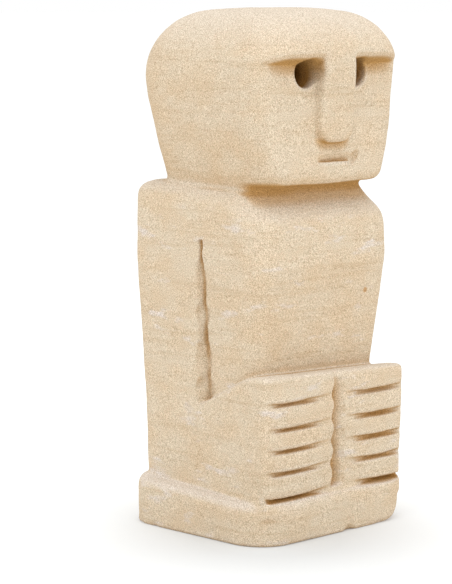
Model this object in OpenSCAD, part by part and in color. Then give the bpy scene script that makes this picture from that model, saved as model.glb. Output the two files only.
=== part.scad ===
// Seated ancestor figure carved from one block of soft pale sandstone.
// Millimetres, +Z up, the face looks towards -Y.
// The origin is at the middle of the flat underside, on the surface the figure stands on.

/* [Block] */
// Height of the whole figure
figure_h = 300; // [260:1:360]
// Width of the plinth, the widest part of the figure
plinth_w = 128; // [122:1:140]
// Depth of the plinth, front to back
plinth_d = 114; // [114:1:124]

/* [Plinth] */
// Thickness of the plinth
plinth_h = 26; // [20:1:34]
// Radius of the plinth's upright corners
plinth_corner_r = 22; // [12:1:28]
// Radius of the rounding along the plinth's top edge
plinth_edge_r = 5; // [2:0.5:8]

/* [Torso] */
// Width across the shoulders
shoulder_w = 114; // [106:1:118]
// Width of the body where it meets the plinth
foot_w = 108; // [104:1:114]
// Distance from the middle of the figure to the chest, at shoulder height
chest_reach = 47; // [42:1:50]
// Distance from the middle of the figure to the belly, just above the lap
waist_reach = 38; // [34:1:42]
// Distance from the middle of the figure to its back
back_reach = 56; // [50:1:57]
// Radius of the body's upright corners
torso_corner_r = 9; // [5:1:14]
// How far the torso's sides are cut back in front of the arms, just above the lap
flank_depth = 4; // [1:0.5:6]
// Width of the bevel along the top of the shoulders
shoulder_bevel = 9; // [6:1:12]
// Distance from the middle of the figure to the throat, under the chin
throat_reach = 38; // [34:1:42]

/* [Head] */
// Width of the head at the brow
brow_w = 120; // [110:1:122]
// Distance from the middle of the figure to the brow
brow_reach = 57; // [52:1:57]
// Width of the head at the jaw
jaw_w = 101; // [94:1:104]
// Distance from the middle of the figure to the chin
jaw_reach = 50; // [46:1:54]
// Height of the rounded crown
crown_h = 30; // [24:1:36]
// Radius of the head's upright corners
head_corner_r = 24; // [16:1:28]

/* [Face] */
// How far the face is cut back behind the brow
face_depth = 9; // [5:0.5:11]
// Diameter of the drilled eyes
eye_d = 17; // [12:0.5:19]
// Depth of the drilled eyes behind the face
eye_depth = 17; // [8:1:24]
// Distance between the middles of the eyes
eye_spacing = 40; // [36:1:46]
// Width of the nose
nose_w = 26; // [20:1:30]
// Length of the nose below the brow
nose_len = 48; // [38:1:54]
// Width of the mouth
mouth_w = 27; // [16:1:36]
// Height of the mouth
mouth_h = 4; // [2:0.5:8]

/* [Arms and hands] */
// Height of the lap at the right hand
lap_h = 95; // [86:1:104]
// How much lower the lap is at the left hand
lap_drop = 3; // [0:1:6]
// Width across the two hands
hands_w = 116; // [108:1:120]
// Distance from the middle of the figure to the finger tips
hand_reach = 55; // [50:0.5:56]
// Fingers on each hand
finger_count = 5; // [3:1:6]
// Height of the saw cuts between the fingers
saw_cut_h = 3; // [2:0.5:4]
// Depth of the saw cuts at their middle
saw_cut_depth = 6; // [3:0.5:9]
// Radius of the saw disc that made the cuts
saw_disc_r = 52; // [40:1:60]
// Width of the groove between the hands
hand_gap = 6; // [3:0.5:9]
// Width of the groove in front of each upper arm
arm_groove_w = 5; // [3:0.5:8]
// Depth of the groove in front of each upper arm
arm_groove_depth = 5; // [2:0.5:8]

/* [Hidden] */

stone = [0.89, 0.81, 0.67];
block_fn = 36;          // facets of the rounded upright corners
hole_fn = 64;
layer = 0.2;            // thickness of the layers that a block is drawn through
past = 30;              // how far a cut runs past the surface that it starts from

chin_z = figure_h * 0.667;
brow_z = figure_h * 0.913;
eye_z = figure_h * 0.878;
mouth_z = figure_h * 0.711;
cheek_z = figure_h * 0.783;
crown_z = figure_h - crown_h;
shoulder_z = figure_h * 0.595;
neck_z = figure_h * 0.640;
throat_corner_r = torso_corner_r + 16;
mouth_shift = 4;        // the mouth is carved off the middle, towards the left hand
mouth_depth = 1;
elbow_z = lap_h * 0.77;
elbow_y = 6;
knuckle_z = lap_h - 1;                  // where the fingers start, counted downwards
finger_pitch = (knuckle_z - plinth_h) / finger_count;
groove_top_z = shoulder_z - 6;
groove_y = -0.5;
crown_steps = 7;
edge_steps = 4;
disc_fn = 96;
cut_len = 48;           // length of the saw cuts across one hand

// Four upright posts at the corners of one level of a block. level = [height, half width,
// reach to the front, reach to the back, front corner radius, back corner radius]
module corner_posts(level)
    for (side = [-1, 1]) {
        translate([side * (level[1] - level[4]), -level[2] + level[4], level[0]])
            cylinder(h = layer, r = level[4], $fn = block_fn);
        translate([side * (level[1] - level[5]), level[3] - level[5], level[0]])
            cylinder(h = layer, r = level[5], $fn = block_fn);
    }

// A block that runs through its levels, with round upright corners
module tapered_block(levels)
    hull()
        for (level = levels)
            corner_posts(level);

// The rounded top edge shrinks each level by edge_r * (1 - cos) while it rises by edge_r * sin
module plinth() {
    side = plinth_w / 2;
    reach = plinth_d / 2;
    foot = [0, side, reach, reach, plinth_corner_r, plinth_corner_r];
    rounding = [for (step = [0:edge_steps])
        let (turn = 90 * step / edge_steps,
             shrink = plinth_edge_r * (1 - cos(turn)),
             corner_r = plinth_corner_r - shrink,
             z = plinth_h - plinth_edge_r * (1 - sin(turn)) - layer)
        [z, side - shrink, reach - shrink, reach - shrink, corner_r, corner_r]];
    tapered_block(concat([foot], rounding));
}

// Block of the body: the belly slopes back towards the lap, and the shoulders are bevelled off
module body_block() {
    side = shoulder_w / 2;
    belly_slope = (chest_reach - waist_reach) / (shoulder_z - lap_h);
    foot_reach = waist_reach - belly_slope * (lap_h - plinth_h);
    back_r = torso_corner_r;
    tapered_block([
        [plinth_h - 4, foot_w / 2, foot_reach, back_reach - 6, torso_corner_r, back_r],
        [shoulder_z, side, chest_reach, back_reach, torso_corner_r + 4, back_r],
        [neck_z - 2, side, throat_reach + 1, back_reach, throat_corner_r - 1, back_r],
        [neck_z, side - 1.5, throat_reach, back_reach, throat_corner_r, back_r],
        [chin_z + 1, side - shoulder_bevel, throat_reach - 5, back_reach - 1, throat_corner_r - 6, back_r - 3],
    ]);
}

// Head: widest at the brow, narrower at the jaw, with a domed crown
module head() {
    brow_side = brow_w / 2;
    back = brow_reach - 1.5;
    jaw_r = head_corner_r - 6;
    cheek_r = head_corner_r - 2;
    jaw = [chin_z, jaw_w / 2 - 3, jaw_reach - 3, jaw_reach - 9, jaw_r - 2, jaw_r - 2];
    jaw_edge = [chin_z + 4, jaw_w / 2, jaw_reach, jaw_reach - 6, jaw_r, jaw_r];
    cheek = [cheek_z, brow_side - 3, brow_reach - 2, back - 4, cheek_r, cheek_r];
    crown = [for (step = [0:crown_steps])
        let (turn = 86 * step / crown_steps,
             keep = pow(cos(turn), 0.75),
             corner_r = 8 + (head_corner_r - 8) * keep,
             z = crown_z + (crown_h - layer) * sin(turn) / sin(86))
        [z, 14 + (brow_side - 14) * keep, 14 + (brow_reach - 14) * keep,
         8 + (back - 10) * keep, corner_r, corner_r]];
    tapered_block(concat([jaw, jaw_edge, cheek], crown));
}

// Everything in front of the face is cut away below the brow, with a sloping underside to the brow
module face_cut() {
    face_y = -brow_reach + face_depth;
    translate([-plinth_w / 2, 0, 0])
        rotate([90, 0, 90])
            linear_extrude(height = plinth_w)
                polygon([
                    [face_y, brow_z - 5],
                    [-brow_reach - 1, brow_z + 1],
                    [-brow_reach - past, brow_z + 1],
                    [-brow_reach - past, chin_z + 4],
                    [-jaw_reach - 1, chin_z + 4],
                ]);
}

// Nose: a flat bar that hangs from the brow and ends in two rounded corners
module nose() {
    corner_r = 6;
    tip_z = brow_z - nose_len;
    back_y = -jaw_reach + 8;
    front_low = brow_reach - 3.5;
    hull() {
        translate([-nose_w / 2 + 1, -brow_reach, brow_z + 2])
            cube([nose_w - 2, face_depth + 4, layer]);
        for (side = [-1, 1])
            translate([side * (nose_w / 2 - corner_r), back_y, tip_z + corner_r])
                rotate([90, 0, 0])
                    cylinder(h = front_low + back_y, r = corner_r, $fn = block_fn);
    }
}

// Two eyes drilled straight back beside the nose
module eye_holes()
    for (side = [-1, 1])
        translate([side * eye_spacing / 2, -brow_reach + face_depth + eye_depth, eye_z])
            rotate([90, 0, 0])
                cylinder(h = eye_depth + past, d = eye_d, $fn = hole_fn);

// Mouth: a shallow level notch
module mouth()
    translate([-mouth_w / 2 + mouth_shift, -jaw_reach - past, mouth_z])
        cube([mouth_w, past + mouth_depth, mouth_h]);

// Lap block with the forearms, from the elbows forward and up to the hands
module lap() {
    edge_r = 4;
    corner_r = 6;
    hull()
        for (side = [-1, 1]) {
            top = side < 0 ? lap_h : lap_h - lap_drop;
            for (z = [plinth_h - 2, top - edge_r])
                translate([side * (hands_w / 2 - corner_r), -hand_reach + corner_r, z])
                    cylinder(h = layer, r = corner_r, $fn = block_fn);
            for (y = [-hand_reach + corner_r + edge_r, -waist_reach])
                translate([side * (hands_w / 2 - corner_r - edge_r), y, top - layer])
                    cylinder(h = layer, r = corner_r, $fn = block_fn);
            translate([side * (foot_w / 2 - corner_r), elbow_y - corner_r, plinth_h - 2])
                cylinder(h = elbow_z - plinth_h + 2, r = corner_r, $fn = block_fn);
        }
}

// A thin disc sunk into the front of a hand, level with the gap between two fingers
module saw_cut(side, z)
    translate([side * (hands_w / 4 + 1), -hand_reach - saw_disc_r + saw_cut_depth, z - saw_cut_h / 2])
        cylinder(h = saw_cut_h, r = saw_disc_r, $fn = disc_fn);

// Saw cuts between the fingers, and one below each hand that parts it from the plinth
module finger_cuts()
    intersection() {
        union()
            for (side = [-1, 1], finger = [1:finger_count])
                saw_cut(side, knuckle_z - finger * finger_pitch + (finger == finger_count ? 1 : 0));
        for (side = [-1, 1])
            translate([side * (hands_w / 4 + 1) - cut_len / 2, -hand_reach - past, 0])
                cube([cut_len, past + saw_cut_depth + 1, figure_h]);
    }

// Upright groove that parts the two hands, with sloping walls
module hand_groove()
    translate([0, 0, plinth_h + 2])
        linear_extrude(height = figure_h / 3)
            polygon([
                [-hand_gap / 2, -hand_reach - 1],
                [hand_gap / 2, -hand_reach - 1],
                [1, -hand_reach + 8],
                [-1, -hand_reach + 8],
            ]);

// Flank: the torso's side in front of the arm, cut back deeper towards the lap
module flank(side) {
    lean = atan(flank_depth / (groove_top_z - lap_h));
    translate([side * (shoulder_w / 2 + 0.5), 0, groove_top_z])
        rotate([0, side * lean, 0])
            translate([side > 0 ? 0 : -past, 0, 0])
                rotate([90, 0, 90])
                    linear_extrude(height = past)
                        polygon([
                            [groove_y, 0],
                            [-chest_reach - past, 0],
                            [-chest_reach - past, lap_h - groove_top_z - 1],
                            [-waist_reach + 4, lap_h - groove_top_z - 1],
                            [groove_y, elbow_z + 4 - groove_top_z],
                        ]);
}

// Upright groove in front of the upper arm, down to the forearm
module arm_groove(side)
    translate([side * (shoulder_w / 2 + 1), groove_y, 0])
        translate([0, 0, elbow_z + 3])
            linear_extrude(height = groove_top_z - elbow_z - 3)
                polygon([
                    [0, -arm_groove_w / 2 - 1],
                    [0, arm_groove_w / 2 + 1],
                    [-side * (arm_groove_depth + 3), arm_groove_w / 4],
                    [-side * (arm_groove_depth + 3), -arm_groove_w / 4],
                ]);

// Body from the plinth up to the shoulders, with the arms standing out behind the flanks
module torso()
    difference() {
        body_block();
        for (side = [-1, 1]) {
            flank(side);
            arm_groove(side);
        }
    }

module face_and_head() {
    difference() {
        head();
        face_cut();
        mouth();
    }
    nose();
}

module carved_figure()
    color(stone)
        difference() {
            union() {
                plinth();
                torso();
                lap();
                face_and_head();
            }
            eye_holes();
            finger_cuts();
            hand_groove();
        }

carved_figure();
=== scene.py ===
import math

import bpy
import numpy as np
import openvdb
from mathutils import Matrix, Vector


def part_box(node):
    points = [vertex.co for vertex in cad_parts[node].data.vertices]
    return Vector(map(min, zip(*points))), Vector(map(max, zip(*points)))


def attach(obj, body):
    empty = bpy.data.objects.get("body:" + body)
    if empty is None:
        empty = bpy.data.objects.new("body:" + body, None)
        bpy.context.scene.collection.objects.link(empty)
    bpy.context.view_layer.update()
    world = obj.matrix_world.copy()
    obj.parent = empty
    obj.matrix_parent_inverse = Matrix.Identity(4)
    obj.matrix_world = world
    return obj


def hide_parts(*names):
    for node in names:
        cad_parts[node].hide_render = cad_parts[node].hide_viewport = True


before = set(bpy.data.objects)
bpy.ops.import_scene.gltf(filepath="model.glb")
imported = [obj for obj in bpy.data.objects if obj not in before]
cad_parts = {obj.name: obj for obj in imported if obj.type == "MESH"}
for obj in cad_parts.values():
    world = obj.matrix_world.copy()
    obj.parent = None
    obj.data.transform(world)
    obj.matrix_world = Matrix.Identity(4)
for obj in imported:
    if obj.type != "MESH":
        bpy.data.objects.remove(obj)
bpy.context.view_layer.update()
block_low, block_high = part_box("carved_figure")


# ---- Plinth ----
# The foot of the figure: a slab left standing at the bottom of the block of soft, pale sandstone.
# It is sawn, its upright corners and top edge are rubbed round, and its bottom edge has chipped in use.
plinth_half = block_high.x
plinth_reach = block_high.y
plinth_corner = 0.022
plinth_top = 0.0273
plinth_rise_right = 0.035
plinth_rise_back = 0.05
plinth_edge_round = 0.007
chipped_edge = 0.0016
chip_spacing = 0.006
chip_size = 0.0045
chip_rarity = 0.3
nick = (0.009, -0.0605, -0.0022)
nick_radius = 0.0064
nick_edge_round = 0.001
worn_corner = (0.060, -0.044)
worn_corner_reach = 0.015
worn_corner_round = 0.019


def soft_max(a, b, width):
    """The larger of two distances, with the edge between them rounded over a width"""
    near = np.maximum(width - np.abs(a - b), 0.0)
    return np.maximum(a, b) + near * near / (4.0 * width)


def soft_min(a, b, width):
    """The smaller of two distances, with the hollow between them filled over a width"""
    return -soft_max(-a, -b, width)


def upright_sides(x, y, half, front, back, corner):
    """Distance from the sides of an upright block with round corners"""
    over_x = np.abs(x) - half + corner
    over_y = np.abs(y - (back - front) / 2) - (back + front) / 2 + corner
    outside = np.hypot(np.maximum(over_x, 0.0), np.maximum(over_y, 0.0))
    return outside + np.minimum(np.maximum(over_x, over_y), 0.0) - corner


def uneven(x, y, z, spacing, seed):
    """Smooth random waviness from -1 to 1, with its bumps about one spacing apart"""
    size = 64
    lattice = np.random.default_rng(seed).uniform(-1.0, 1.0, (size, size, size)).astype(np.float32)
    cells = []
    for place in (x, y, z):
        along = place / spacing + 4 * size
        start = np.floor(along).astype(np.int32)
        step = (along - start).astype(np.float32)
        cells.append((start, step * step * (3.0 - 2.0 * step)))
    total = 0.0
    for corner in np.ndindex(2, 2, 2):
        share = 1.0
        picked = []
        for (start, step), far in zip(cells, corner):
            share = share * (step if far else 1.0 - step)
            picked.append((start + far) % size)
        total = total + share * lattice[tuple(picked)]
    return total


def plinth(x, y, z):
    sides = upright_sides(x, y, plinth_half, plinth_reach, plinth_reach, plinth_corner)
    top = z - (plinth_top + plinth_rise_right * x + plinth_rise_back * y)
    slab = soft_max(sides, top, plinth_edge_round)
    chips = np.maximum(uneven(x, y, 0.0 * (x + y), chip_spacing, 11) - chip_rarity, 0.0)
    from_corner = ((x - worn_corner[0]) ** 2 + (y - worn_corner[1]) ** 2) / worn_corner_reach ** 2
    edge = chipped_edge + chip_size * chips + worn_corner_round * np.exp(-from_corner)
    slab = soft_max(slab, -z, edge)
    from_nick = np.sqrt((x - nick[0]) ** 2 + (y - nick[1]) ** 2 + (z - nick[2]) ** 2)
    return soft_max(slab, nick_radius - from_nick, nick_edge_round)


# ---- Body ----
# The torso, with the arms still part of it: one tapering block between the plinth and the shoulders,
# roughed out with a saw and a rasp. The belly leans back to the lap, and the shoulders are bevelled
# off at the sides, more towards the front. A narrower neck runs up under the chin.
body_levels = np.array([
    # height, half width, reach to the front, reach to the back, front corner
    (0.024, 0.0545, 0.0330, 0.0498, 0.009),
    (0.060, 0.0550, 0.0350, 0.0512, 0.010),
    (0.101, 0.0557, 0.0400, 0.0531, 0.011),
    (0.116, 0.0560, 0.0425, 0.0543, 0.012),
    (0.137, 0.0565, 0.0453, 0.0558, 0.013),
    (0.156, 0.0569, 0.0480, 0.0566, 0.014),
    (0.179, 0.0570, 0.0478, 0.0568, 0.017),
    (0.1845, 0.0570, 0.0440, 0.0568, 0.019),
    (0.1895, 0.0568, 0.0385, 0.0568, 0.022),
    (0.193, 0.0566, 0.0355, 0.0568, 0.024),
    (0.201, 0.0560, 0.0330, 0.0560, 0.022),
])
body_back_corner = 0.009
easing = np.linspace(-0.004, 0.004, 5)
shoulder_top = 0.2003
shoulder_bevel = 0.1925
shoulder_bevel_rise = 0.10
shoulder_edge_round = 0.007
neck_sides = dict(half=0.046, front=0.034, back=0.040, corner=0.016)
neck_tall = 0.02
neck_edge_round = 0.004


def read_off(z, levels):
    """Each column of the levels at height z, eased so that no ring shows where a slope changes"""
    for column in levels.T[1:]:
        eased = sum(np.interp(z + step, levels[:, 0], column) for step in easing) / len(easing)
        yield eased.astype(np.float32)


def body_block(x, y, z, cut_back):
    half, front, back, front_corner = read_off(z, body_levels)
    corner = np.where(y < 0.0, front_corner, np.float32(body_back_corner))
    sides = upright_sides(x, y, half - cut_back, front, back, corner)
    bevel_start = shoulder_bevel + shoulder_bevel_rise * y
    bevel = (np.abs(x) - half + z - bevel_start) * math.sqrt(0.5)
    block = soft_max(sides, bevel, shoulder_edge_round)
    block = soft_max(block, z - shoulder_top, shoulder_edge_round)
    neck = soft_max(upright_sides(x, y, **neck_sides), z - shoulder_top - neck_tall, neck_edge_round)
    return soft_min(block, neck, neck_edge_round)


# ---- Arms ----
# The arms are not separate pieces. A groove is cut down the middle of each side, and the flank in
# front of it is rasped back, deeper towards the lap, so that the upper arm stands proud behind.
groove_y = -0.0008
groove_top = 0.169
groove_foot = 0.075
groove_half_top = 0.0023
groove_half_foot = 0.0043
groove_deep_top = 0.0026
groove_deep_foot = 0.0062
groove_fullness = 0.7
groove_deepening = 0.6
groove_run_past = 1.2
groove_rough = 0.0017
groove_rough_spacing = 0.007
flank_step = 0.0016
flank_deep = 0.0046


def arm_cut(y, z):
    """How far the body's sides are cut back at each place"""
    down = np.clip((groove_top - z) / (groove_top - groove_foot), 0.0, groove_run_past)
    flank = flank_deep * down * np.clip(0.5 - (y - groove_y) / (2 * flank_step), 0.0, 1.0)
    groove_half = groove_half_top + (groove_half_foot - groove_half_top) * down
    groove_half = groove_half + groove_rough * uneven(0.0 * z, 0.0 * z, z, groove_rough_spacing, 21)
    groove_deep = groove_deep_top + (groove_deep_foot - groove_deep_top) * down ** groove_deepening
    across = np.clip(1.0 - np.abs(y - groove_y) / groove_half, 0.0, 1.0) ** groove_fullness
    return (flank + groove_deep * np.where(down > 0.0, across, 0.0)).astype(np.float32)


def torso(x, y, z):
    return body_block(x, y, z, arm_cut(y, z))


# ---- Lap and hands ----
# The forearms run forward from the elbows and end in two flat hands, which are one block with the
# knees. The top slopes down from the right hand to the left one, and back to the elbows.
lap_half = 0.0555
lap_spread = 0.061
hand_reach = 0.0552
hand_taper = 0.014
hand_middle = 0.08
hand_corner = 0.005
lap_top = 0.0940
lap_fall = 0.034
forearm_start = -0.0405
forearm_fall = 0.495
elbow_y = 0.007
lap_edge_round = 0.0036
lap_slope_round = 0.004


def lap_block(x, y, z):
    shrink = hand_taper * (hand_middle - z)
    half = lap_half - lap_spread * y - shrink
    over_x = np.abs(x) - half + hand_corner
    over_y = -y - (hand_reach - shrink) + hand_corner
    outside = np.hypot(np.maximum(over_x, 0.0), np.maximum(over_y, 0.0))
    sides = outside + np.minimum(np.maximum(over_x, over_y), 0.0) - hand_corner
    level_top = z - (lap_top - lap_fall * x)
    sloping_top = (level_top + forearm_fall * (y - forearm_start)) / math.hypot(1.0, forearm_fall)
    top = soft_max(level_top, sloping_top, lap_slope_round)
    block = soft_max(sides, top, lap_edge_round)
    return soft_max(block, y - elbow_y, lap_slope_round)


# ---- Head ----
# The head is the widest part above the plinth: it swells from the jaw up to the brow, and a low dome
# closes it. It is rasped and rubbed until the upright corners and the crown are soft.
head_levels = np.array([
    # height, half width, reach to the front, reach to the back, corner
    (0.200, 0.0492, 0.0497, 0.0422, 0.017),
    (0.207, 0.0515, 0.0515, 0.0432, 0.018),
    (0.221, 0.0547, 0.0536, 0.0469, 0.020),
    (0.235, 0.0572, 0.0549, 0.0503, 0.022),
    (0.249, 0.0587, 0.0554, 0.0538, 0.023),
    (0.262, 0.0599, 0.0569, 0.0552, 0.024),
    (0.272, 0.0605, 0.0582, 0.0554, 0.024),
    (0.300, 0.0605, 0.0582, 0.0554, 0.030),
])
crown_top = block_high.z
crown_peak_x = 0.0008
crown_peak_y = -0.0008
crown_bulge = 1.2
crown_round = 0.036
crown_round_lean = 0.035
chin_z = 0.2006
chin_round = 0.006


def head_block(x, y, z):
    half, front, back, corner = read_off(z, head_levels)
    sides = upright_sides(x, y, half, front, back, corner)
    dome = z - crown_top + crown_bulge * ((x - crown_peak_x) ** 2 + (y - crown_peak_y) ** 2)
    head = soft_max(sides, dome, crown_round - crown_round_lean * (x - y))
    return soft_max(head, chin_z - z, chin_round)


# ---- Face ----
# The face is cut back below the brow, leaving a level ledge of a brow and a flat bar of a nose with
# a round tip. The cut runs out into the round corners of the head, and its inner corners are soft.
face_y = -0.048
face_z = 0.265
face_lean = 0.030
eye_z = 0.2635
brow_z = 0.2735
brow_y = -0.057
brow_tilt = math.radians(29)
cove_round = 0.0010
nose_half_top = 0.0124
nose_half_foot = 0.0134
nose_foot = 0.2243
nose_tip_round = 0.0092
nose_base_round = 0.0022
nose_spread = 0.15
nose_thick = 0.012
brow_edge_round = 0.0032
brow_fade_from = 0.040
brow_fade = 0.12
brow_fade_tall = 0.008


def cut_face(stone, x, y, z):
    front = y - face_y + face_lean * (face_z - z)
    under_brow = (y - brow_y) * math.sin(brow_tilt) + (z - brow_z) * math.cos(brow_tilt)
    cut = soft_max(front, under_brow, cove_round)
    down = np.clip((brow_z - z) / (brow_z - nose_foot), 0.0, 1.0)
    nose_half = nose_half_top + (nose_half_foot - nose_half_top) * down
    nose_half = nose_half + nose_spread * np.clip(y - brow_y, 0.0, nose_thick)
    over_x = np.abs(x) - nose_half + nose_tip_round
    over_z = nose_foot - z + nose_tip_round
    nose = np.hypot(np.maximum(over_x, 0.0), np.maximum(over_z, 0.0))
    nose = nose + np.minimum(np.maximum(over_x, over_z), 0.0) - nose_tip_round
    cut = soft_max(cut, -nose, nose_base_round)
    below = np.clip((brow_z - z) / brow_fade_tall, 0.0, 1.0)
    edge = brow_edge_round + brow_fade * below * np.maximum(np.abs(x) - brow_fade_from, 0.0)
    return soft_max(stone, -cut, edge)


# ---- Eyes ----
# Two round holes drilled straight back into the stone beside the nose, close under the brow.
# Their rims are rubbed, and their bottoms are rounded.
eye_x = 0.0208
eye_radius = 0.0084
eye_bottom = -0.018
eye_bottom_round = 0.008
eye_rim_round = 0.0009


def drill_eyes(stone, x, y, z):
    hole = np.hypot(np.abs(x) - eye_x, z - eye_z) - eye_radius
    hole = soft_max(hole, y - eye_bottom, eye_bottom_round)
    return soft_max(stone, -hole, eye_rim_round)


# ---- Mouth ----
# A shallow notch with a crisp lower lip, cut a little off the middle towards the left hand. It fades
# out upwards, and a chip has broken away at its end on the left hand's side.
mouth_x = 0.0032
mouth_half = 0.0175
mouth_z = 0.2133
mouth_tall = 0.0066
mouth_deep = 0.0036
mouth_y = -0.0502
mouth_edge_round = 0.0006
mouth_squareness = 4
mouth_chip = dict(x=0.0188, z=0.2150, long=0.0054, thin=0.0027, deep=0.0030)


def cut_mouth(stone, x, y, z):
    along = np.clip(1.0 - ((x - mouth_x) / mouth_half) ** mouth_squareness, 0.0, 1.0)
    fade = np.clip(1.0 - (z - mouth_z) / mouth_tall, 0.0, 1.0)
    floor = mouth_y + mouth_deep * along * fade
    ends = np.maximum(np.abs(x - mouth_x) - mouth_half, z - mouth_z - mouth_tall)
    notch = np.maximum(np.maximum(y - floor, mouth_z - z), ends)
    stone = soft_max(stone, -notch, mouth_edge_round)
    slant = math.sqrt(0.5)
    right = (x - mouth_chip["x"]) * slant
    up = (z - mouth_chip["z"]) * slant
    long_way = (right + up) / mouth_chip["long"]
    short_way = (right - up) / mouth_chip["thin"]
    in_depth = (y - mouth_y) / mouth_chip["deep"]
    chip = (np.sqrt(long_way ** 2 + short_way ** 2 + in_depth ** 2) - 1.0) * mouth_chip["deep"]
    return soft_max(stone, -chip, mouth_edge_round)


# ---- Fingers ----
# The fingers are parted by level cuts with a saw, which sag in the middle. The lower side of each cut is
# rasped to a slope. The last one frees the hand, and under the left hand it opens through the corner.
right_hand_levels = (0.0812, 0.0669, 0.0546, 0.0421)
left_hand_levels = (0.0808, 0.0667, 0.0536, 0.0412)
cut_sag = 0.0012
cut_tall = 0.0030
cut_floor_tall = 0.0008
cut_deep = 0.0041
cut_edge_round = 0.0013
cut_floor_slope = 0.8
cut_floor_round = 0.0012
cut_run_out = 0.001
cut_taper = 1.1
right_hand_cuts = ((-0.0612, 0.0010), (-0.0592, 0.0010), (-0.0598, 0.0010), (-0.0606, 0.0010))
right_hand_skew = 0.76
left_hand_cuts = ((-0.0020, 0.0660), (-0.0010, 0.0660), (0.0000, 0.0660), (0.0000, 0.0660))
left_hand_skew = 1.20
under_hand_level = 0.0273
under_hand_deep = 0.0060
under_right_hand = (-0.0636, -0.0005)
under_left_hand = (0.0080, 0.0760)


def saw_cut(stone, x, y, z, level, span, skew, deep):
    share = np.clip((x - span[0]) / (span[1] - span[0]), 0.0, 1.0)
    along = np.maximum(np.sin(math.pi * share ** skew), 0.0) ** cut_taper
    front = -hand_reach + hand_taper * (hand_middle - z)
    inward = np.clip((y - front) / deep, 0.0, 1.0)
    tall = cut_tall + (cut_floor_tall - cut_tall) * inward
    roof = level + cut_sag * (0.5 - along)
    slot = np.maximum(z - roof, (roof - tall - z) * cut_floor_slope)
    reach = (deep + cut_run_out) * along - cut_run_out
    slot = soft_max(slot, y - front - reach, cut_floor_round)
    return soft_max(stone, -slot, cut_edge_round)


def cut_fingers(stone, x, y, z):
    for level, span in zip(right_hand_levels, right_hand_cuts):
        stone = saw_cut(stone, x, y, z, level, span, right_hand_skew, cut_deep)
    for level, span in zip(left_hand_levels, left_hand_cuts):
        stone = saw_cut(stone, x, y, z, level, span, left_hand_skew, cut_deep)
    stone = saw_cut(stone, x, y, z, under_hand_level, under_right_hand, right_hand_skew, under_hand_deep)
    return saw_cut(stone, x, y, z, under_hand_level, under_left_hand, left_hand_skew, under_hand_deep)


# ---- Groove between the hands ----
# An upright groove, sawn and then rasped, that parts the ten finger ends. Its wall at the right hand
# is steep and its wall at the left hand is a long slope, and it swells a little at each finger.
groove_outline_x = (-0.0036, -0.0024, -0.0006, 0.0062)
groove_outline_deep = (0.0, 0.0054, 0.0048, 0.0)
hand_groove_run_out = 0.004
hand_groove_steepness = 0.6
hand_groove_top = 0.097
hand_groove_fade = 0.016
hand_groove_least = 0.35
hand_groove_foot = 0.0275
hand_groove_foot_round = 0.003
hand_groove_edge_round = 0.0016
finger_scallop = 0.18
finger_spacing = 0.0133


def part_hands(stone, x, y, z):
    high = np.clip((hand_groove_top - z) / hand_groove_fade, hand_groove_least, 1.0)
    swell = 1.0 + finger_scallop * np.cos((z - right_hand_levels[0]) * 2 * math.pi / finger_spacing)
    middle = (groove_outline_x[0] + groove_outline_x[-1]) / 2
    across = middle + (x - middle) / swell
    beside = -hand_groove_run_out
    deep = np.interp(across, groove_outline_x, groove_outline_deep, left=beside, right=beside)
    front = -hand_reach + hand_taper * (hand_middle - z)
    groove = (y - front - deep.astype(np.float32) * high) * hand_groove_steepness
    groove = soft_max(groove, hand_groove_foot - z, hand_groove_foot_round)
    return soft_max(stone, -groove, hand_groove_edge_round)


# ---- Carving ----
# The whole figure is one stone, so the features above are united and cut in the order that a carver
# works in, and become one closed skin. Rasp and rubbing stone leave it slightly uneven, never flat.
neck_round = 0.006
lap_hollow_round = 0.003
plinth_hollow_round = 0.003
body_foot = 0.016
body_foot_round = 0.002
skin_step = 0.0008
skin_margin = 4 * skin_step
skin_band = 3.0
skin_triangles = 190000
waviness = (
    # spacing of the bumps, height, seed
    (0.034, 0.00050, 3),
    (0.013, 0.00022, 5),
    (0.0050, 0.00010, 7),
    (0.0024, 0.00007, 9),
)
still_foot = 0.004
rubbed_and_highlit_reach = 0.003
crease_stain_and_shade_reaches = (0.0015, 0.004, 0.009)
# how far above each place is looked at for stone that covers it, and the share that it counts for, for
# the painted shade under ledges
painted_shade_below_ledges_reaches = ((0.003, 0.2), (0.007, 0.35), (0.014, 0.45))
look_up = 0.9
look_out = 0.6
look_wide = 0.5


def carved(x, y, z):
    stone = head_block(x, y, z)
    stone = cut_face(stone, x, y, z)
    stone = cut_mouth(stone, x, y, z)
    stone = drill_eyes(stone, x, y, z)
    stone = soft_min(stone, torso(x, y, z), neck_round)
    hands = part_hands(lap_block(x, y, z), x, y, z)
    stone = soft_min(stone, hands, lap_hollow_round)
    stone = soft_max(stone, body_foot - z, body_foot_round)
    stone = soft_min(stone, plinth(x, y, z), plinth_hollow_round)
    return np.maximum(cut_fingers(stone, x, y, z), -z)


def block_skin():
    """Corners and faces of the skin where the carved distance is zero"""
    axes = []
    for low, high in zip(block_low, block_high):
        axes.append(np.arange(low - skin_margin, high + skin_margin, skin_step, dtype=np.float32))
    distance = carved(axes[0][:, None, None], axes[1][None, :, None], axes[2][None, None, :])
    grid = openvdb.FloatGrid(background=skin_band)
    grid.copyFromArray(np.clip(distance / skin_step, -skin_band, skin_band).astype(np.float32))
    grid.gridClass = openvdb.GridClass.LEVEL_SET
    corners, triangles, quads = grid.convertToPolygons(isovalue=0.0, adaptivity=0.0)
    faces = [tuple(face) for face in triangles[:, ::-1]] + [tuple(face) for face in quads[:, ::-1]]
    return corners * skin_step + np.array([axis[0] for axis in axes]), faces


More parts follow.
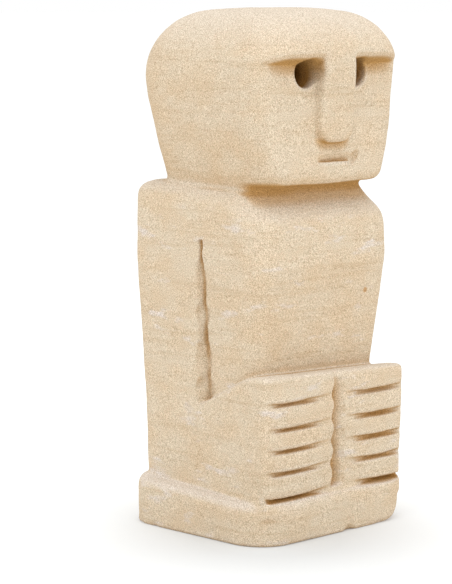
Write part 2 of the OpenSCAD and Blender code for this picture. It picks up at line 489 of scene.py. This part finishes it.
def outward(x, y, z, probe=skin_step / 2):
    """Unit direction away from the stone at each place"""
    slope = np.stack([
        carved(x + probe, y, z) - carved(x - probe, y, z),
        carved(x, y + probe, z) - carved(x, y - probe, z),
        carved(x, y, z + probe) - carved(x, y, z - probe),
    ])
    return slope / np.maximum(np.linalg.norm(slope, axis=0), 1e-9)


def places(mesh):
    flat = np.zeros(len(mesh.vertices) * 3, np.float32)
    mesh.vertices.foreach_get("co", flat)
    return flat.reshape(-1, 3).T


corners, faces = block_skin()
skin = bpy.data.meshes.new("carved_stone")
skin.from_pydata(corners, [], faces)
x, y, z = places(skin)
away = outward(x, y, z)
lift = sum(height * uneven(x, y, z, spacing, seed) for spacing, height, seed in waviness)
lift = lift * np.clip(z / still_foot, 0.0, 1.0)
skin.vertices.foreach_set("co", (np.stack([x, y, z]) + away * lift).T.ravel())
skin.update()

figure = bpy.data.objects.new("carved_stone", skin)
bpy.context.scene.collection.objects.link(figure)
triangles_before = sum(len(face) - 2 for face in faces)
thinning = figure.modifiers.new("thinning", "DECIMATE")
thinning.ratio = min(1.0, skin_triangles / triangles_before)
thinned = bpy.data.meshes.new_from_object(figure.evaluated_get(bpy.context.evaluated_depsgraph_get()))
figure.modifiers.clear()
figure.data = thinned
bpy.data.meshes.remove(skin)
skin = thinned
skin.name = "carved_stone"
skin.polygons.foreach_set("use_smooth", np.ones(len(skin.polygons), bool))

x, y, z = places(skin)
away = outward(x, y, z, skin_step)
# How far each place lies in a crease, for brown that is partly stain and partly painted shade
crease_stain_and_shade = np.zeros_like(z)
for reach in crease_stain_and_shade_reaches:
    out = np.stack([x, y, z]) + away * reach
    crease_stain_and_shade = crease_stain_and_shade + np.clip(1.0 - carved(*out) / reach, 0.0, 1.0) / len(crease_stain_and_shade_reaches)
# How much stone lies above each place, for the painted shade under ledges, the chin, the brow and in the
# cuts
painted_shade_below_ledges = np.zeros_like(z)
for reach, share in painted_shade_below_ledges_reaches:
    above = np.stack([x, y, z + look_up * reach]) + away * look_out * reach
    painted_shade_below_ledges = painted_shade_below_ledges + share * np.clip(1.0 - carved(*above) / (look_wide * reach), 0.0, 1.0)
# How sharp an edge each place is on, for paler colour that is partly rubbing and partly painted
# highlight
inside = np.stack([x, y, z]) - away * rubbed_and_highlit_reach
rubbed_and_highlit_edge = np.clip(1.0 + carved(*inside) / rubbed_and_highlit_reach, 0.0, 1.0)
skin.attributes.new("crease_stain_and_shade", "FLOAT", "POINT").data.foreach_set("value", crease_stain_and_shade.astype(np.float32))
# How deep each place lies inside the blocks before the eyes, mouth, finger cuts and hand groove were
# cut, for painted shade in them
undrilled = cut_face(head_block(x, y, z), x, y, z)
painted_shade_in_cuts = -np.minimum(np.minimum(undrilled, torso(x, y, z)), lap_block(x, y, z))
skin.attributes.new("painted_shade_in_cuts", "FLOAT", "POINT").data.foreach_set("value", painted_shade_in_cuts.astype(np.float32))
skin.attributes.new("painted_shade_below_ledges", "FLOAT", "POINT").data.foreach_set("value", painted_shade_below_ledges.astype(np.float32))
skin.attributes.new("rubbed_and_highlit_edge", "FLOAT", "POINT").data.foreach_set("value", rubbed_and_highlit_edge.astype(np.float32))

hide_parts("carved_figure")
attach(figure, "root")


# ---- Sandstone ----
# Soft pale sandstone of fine sand grains, with faint level bedding and a few patches of pale dust. It
# is cream where it is rubbed, and paler on upward faces and edges, partly dust and rubbing and partly
# painted highlight. It is browner in creases, partly stain and partly painted shade, and browner on
# downward faces, under ledges, in the eye holes, the mouth and the cuts, where the brown is painted
# shade.
cream = (0.650, 0.547, 0.412, 1.0)
warm_cream = (0.640, 0.510, 0.360, 1.0)
dark_grain = (0.620, 0.580, 0.520, 1.0)
light_grain = (1.300, 1.315, 1.350, 1.0)
pink_grain = (0.640, 0.460, 0.340, 1.0)
green_grain = (0.560, 0.500, 0.350, 1.0)
# brown laid on creases as stain and painted shade, and on downward faces, under ledges and in cuts as
# painted shade
stain_and_painted_shade_brown = (0.430, 0.235, 0.070, 1.0)
# darkest brown painted as shade deep in the eye holes
painted_shade_deep_brown = (0.150, 0.064, 0.008, 1.0)
bedding_tan = (0.520, 0.395, 0.255, 1.0)
# pale colour of dust patches, and of dust and painted highlight on the plinth's top
pale_dust_and_highlight = (0.690, 0.630, 0.590, 1.0)
# pale colour of dust and painted highlight on upward faces, and of rubbing and painted highlight on
# edges
top_dust_and_highlight = (0.680, 0.600, 0.500, 1.0)
rust = (0.420, 0.210, 0.060, 1.0)
rust_fleck = (0.0335, -0.0453, 0.1370)
rust_edge = (0.0021, 0.0012)
grain_stretch = (1900, 1900, 1900)
tint_stretch = (700, 700, 700)
pit_stretch = (330, 330, 330)
cloud_stretch = (34, 34, 50)
bedding_stretch = (13, 13, 320)
dust_stretch = (34, 34, 95)
dust_heights = (0.195, 0.175)
ledge_heights = (0.045, 0.035)
# brown by what is stored on the skin: stain and painted shade in creases, painted shade under ledges and
# in cuts
stain_and_shade_coats = (
    # what is stored on the skin, where the brown starts, where it is full, its strength
    ("crease_stain_and_shade", 0.34, 0.80, 0.48),
    ("painted_shade_below_ledges", 0.42, 1.0, 0.90),
    ("painted_shade_in_cuts", 0.0015, 0.006, 1.0),
)
deep_start = 0.010
deep_full = 0.019
bump_strength = 0.5
pit_depth = 0.0012
grain_depth = 0.0004

stone = bpy.data.materials.new("sandstone")
stone.use_nodes = True
tree = stone.node_tree
shader = tree.nodes["Principled BSDF"]
shader.inputs["Roughness"].default_value = 0.95
shader.inputs["Specular IOR Level"].default_value = 0.0
place = tree.nodes.new("ShaderNodeTexCoord").outputs["Object"]


def noise(stretch, detail, seed):
    """Noise whose features are about 1 / stretch metres along each axis"""
    mapping = tree.nodes.new("ShaderNodeMapping")
    mapping.inputs["Location"].default_value = (seed, seed * 0.7, seed * 1.3)
    mapping.inputs["Scale"].default_value = stretch
    tree.links.new(place, mapping.inputs["Vector"])
    texture = tree.nodes.new("ShaderNodeTexNoise")
    texture.inputs["Scale"].default_value = 1.0
    texture.inputs["Detail"].default_value = detail
    texture.inputs["Roughness"].default_value = 0.6
    tree.links.new(mapping.outputs["Vector"], texture.inputs["Vector"])
    return texture.outputs["Fac"]


def spread(value, low, high, low_out=0.0, high_out=1.0):
    """The value stretched from low..high to low_out..high_out, and held there beyond"""
    node = tree.nodes.new("ShaderNodeMapRange")
    node.inputs["From Min"].default_value = low
    node.inputs["From Max"].default_value = high
    node.inputs["To Min"].default_value = low_out
    node.inputs["To Max"].default_value = high_out
    tree.links.new(value, node.inputs["Value"])
    return node.outputs["Result"]


def both(first, second):
    node = tree.nodes.new("ShaderNodeMath")
    node.operation = "MULTIPLY"
    tree.links.new(first, node.inputs[0])
    tree.links.new(second, node.inputs[1])
    return node.outputs[0]


def coat(under, over, amount):
    """The colour under, with the colour over laid on it by amount"""
    node = tree.nodes.new("ShaderNodeMix")
    node.data_type = "RGBA"
    tree.links.new(amount, node.inputs["Factor"])
    for colour, socket in ((under, node.inputs["A"]), (over, node.inputs["B"])):
        if isinstance(colour, tuple):
            socket.default_value = colour
        else:
            tree.links.new(colour, socket)
    return node.outputs["Result"]


def tinted(under, tint):
    """The colour under, multiplied by the tint"""
    node = tree.nodes.new("ShaderNodeMix")
    node.data_type = "RGBA"
    node.blend_type = "MULTIPLY"
    node.inputs["Factor"].default_value = 1.0
    tree.links.new(under, node.inputs["A"])
    tree.links.new(tint, node.inputs["B"])
    return node.outputs["Result"]


def stored(name):
    node = tree.nodes.new("ShaderNodeAttribute")
    node.attribute_name = name
    return node.outputs["Fac"]


from_fleck = tree.nodes.new("ShaderNodeVectorMath")
from_fleck.operation = "DISTANCE"
from_fleck.inputs[1].default_value = rust_fleck
tree.links.new(place, from_fleck.inputs[0])
normal = tree.nodes.new("ShaderNodeNewGeometry").outputs["Normal"]
normal_parts = tree.nodes.new("ShaderNodeSeparateXYZ")
tree.links.new(normal, normal_parts.inputs["Vector"])
facing_up = normal_parts.outputs["Z"]
place_parts = tree.nodes.new("ShaderNodeSeparateXYZ")
tree.links.new(place, place_parts.inputs["Vector"])
height = place_parts.outputs["Z"]

grain = noise(grain_stretch, 1.0, 1.0)
tint = noise(tint_stretch, 1.0, 6.0)
colour = coat(cream, warm_cream, spread(noise(cloud_stretch, 3, 2.0), 0.40, 0.62))
colour = coat(colour, bedding_tan, spread(noise(bedding_stretch, 3, 3.0), 0.52, 0.70, 0.0, 0.42))
dusty = both(spread(noise(dust_stretch, 4, 4.6), 0.60, 0.70, 0.0, 0.7), spread(height, *dust_heights))
colour = coat(colour, pale_dust_and_highlight, dusty)
# Upward faces paler: partly dust and partly painted highlight
colour = coat(colour, top_dust_and_highlight, spread(facing_up, 0.35, 0.95, 0.0, 0.9))
# The plinth's top faces paler: partly dust and partly painted highlight
ledge_dust_and_highlight = both(spread(facing_up, 0.2, 0.8, 0.0, 0.35), spread(height, *ledge_heights))
colour = coat(colour, pale_dust_and_highlight, ledge_dust_and_highlight)
# Edges paler: partly rubbing and partly painted highlight
colour = coat(colour, top_dust_and_highlight, spread(stored("rubbed_and_highlit_edge"), 0.2, 0.7, 0.0, 0.7))
colour = coat(colour, pink_grain, spread(tint, 0.58, 0.72, 0.0, 0.35))
colour = coat(colour, green_grain, spread(tint, 0.42, 0.28, 0.0, 0.35))
# Downward faces browner: painted shade
colour = coat(colour, stain_and_painted_shade_brown, spread(facing_up, -0.05, -0.35, 0.0, 0.25))
# Browner in creases, partly stain and partly painted shade, and under ledges and in cuts as painted
# shade
for name, start, full, strength in stain_and_shade_coats:
    colour = coat(colour, stain_and_painted_shade_brown, spread(stored(name), start, full, 0.0, strength))
# Darkest brown deep in the eye holes: painted shade
colour = coat(colour, painted_shade_deep_brown, spread(stored("painted_shade_in_cuts"), deep_start, deep_full))
colour = coat(colour, rust, spread(from_fleck.outputs["Value"], *rust_edge, 0.0, 0.7))
colour = tinted(colour, coat(dark_grain, light_grain, spread(grain, 0.30, 0.70)))
tree.links.new(colour, shader.inputs["Base Color"])

pits = noise(pit_stretch, 3, 5.0)
pit_bump = tree.nodes.new("ShaderNodeBump")
pit_bump.inputs["Strength"].default_value = bump_strength
pit_bump.inputs["Distance"].default_value = pit_depth
tree.links.new(pits, pit_bump.inputs["Height"])
grain_bump = tree.nodes.new("ShaderNodeBump")
grain_bump.inputs["Strength"].default_value = bump_strength
grain_bump.inputs["Distance"].default_value = grain_depth
tree.links.new(grain, grain_bump.inputs["Height"])
tree.links.new(pit_bump.outputs["Normal"], grain_bump.inputs["Normal"])
tree.links.new(grain_bump.outputs["Normal"], shader.inputs["Normal"])
skin.materials.append(stone)


# ---- Camera ----
# A long lens about 1.3 m away, level with the top of the head. It looks slightly down on the corner
# between the figure's front and its right side.
camera_place = (-0.9617, -0.9263, 0.3040)
camera_lens = 141.8
camera_film = 36.0
looks_down = math.radians(7.235)
turned = math.radians(-45)
camera_data = bpy.data.cameras.new("camera")
camera_data.lens = camera_lens
camera_data.sensor_width = camera_film
camera = bpy.data.objects.new("camera", camera_data)
camera.location = camera_place
camera.rotation_euler = (math.radians(90) - looks_down, 0.0, turned)
scene = bpy.context.scene
scene.collection.objects.link(camera)
scene.camera = camera


# ---- Studio ----
# A white table under a white sky of soft light, with a large softbox above and weaker ones in front
# and at the right side. The table glows a little, more so away from the figure, so that it looks white;
# its weaker glow near the figure is a painted shadow round the foot.
floor_reach = 40.0
table_grey = (0.60, 0.61, 0.61, 1.0)
plain_white = (1.0, 1.0, 1.0, 1.0)
glow_middle = (-0.04, -0.04, 0.0)
glow_near = 0.04
glow_far = 0.16
glow_in_painted_shadow = 0.115
glow_full = 0.45
floor_mesh = bpy.data.meshes.new("floor")
floor_mesh.from_pydata(
    [(-floor_reach, -floor_reach, 0), (floor_reach, -floor_reach, 0),
     (floor_reach, floor_reach, 0), (-floor_reach, floor_reach, 0)], [], [(0, 1, 2, 3)])
floor = bpy.data.objects.new("floor", floor_mesh)
scene.collection.objects.link(floor)
white = bpy.data.materials.new("white_table")
white.use_nodes = True
table = white.node_tree.nodes["Principled BSDF"]
table.inputs["Base Color"].default_value = table_grey
table.inputs["Roughness"].default_value = 1.0
table.inputs["Specular IOR Level"].default_value = 0.0
table.inputs["Emission Color"].default_value = plain_white
from_middle = white.node_tree.nodes.new("ShaderNodeVectorMath")
from_middle.operation = "DISTANCE"
from_middle.inputs[1].default_value = glow_middle
table_place = white.node_tree.nodes.new("ShaderNodeTexCoord").outputs["Object"]
white.node_tree.links.new(table_place, from_middle.inputs[0])
# Weaker glow near the figure: a painted shadow round its foot
glow = white.node_tree.nodes.new("ShaderNodeMapRange")
glow.inputs["From Min"].default_value = glow_near
glow.inputs["From Max"].default_value = glow_far
glow.inputs["To Min"].default_value = glow_in_painted_shadow
glow.inputs["To Max"].default_value = glow_full
white.node_tree.links.new(from_middle.outputs["Value"], glow.inputs["Value"])
white.node_tree.links.new(glow.outputs["Result"], table.inputs["Emission Strength"])
floor_mesh.materials.append(white)

sky = bpy.data.worlds.new("white_sky")
sky.use_nodes = True
sky.node_tree.nodes["Background"].inputs["Color"].default_value = plain_white
sky.node_tree.nodes["Background"].inputs["Strength"].default_value = 1.0
scene.world = sky
scene.view_settings.view_transform = "Standard"


def softbox(name, size, power, place, tilt):
    data = bpy.data.lights.new(name, "AREA")
    data.size = size
    data.energy = power
    light = bpy.data.objects.new(name, data)
    light.location = place
    light.rotation_euler = tuple(math.radians(angle) for angle in tilt)
    scene.collection.objects.link(light)


softbox("overhead", size=1.8, power=18.0, place=(-0.4, -0.4, 2.6), tilt=(-9, -9, 0))
softbox("front_fill", size=1.0, power=7.0, place=(0.2, -1.9, 0.9), tilt=(68, 0, 6))
softbox("side_fill", size=1.0, power=5.0, place=(-1.9, 0.1, 0.9), tilt=(68, 0, -87))
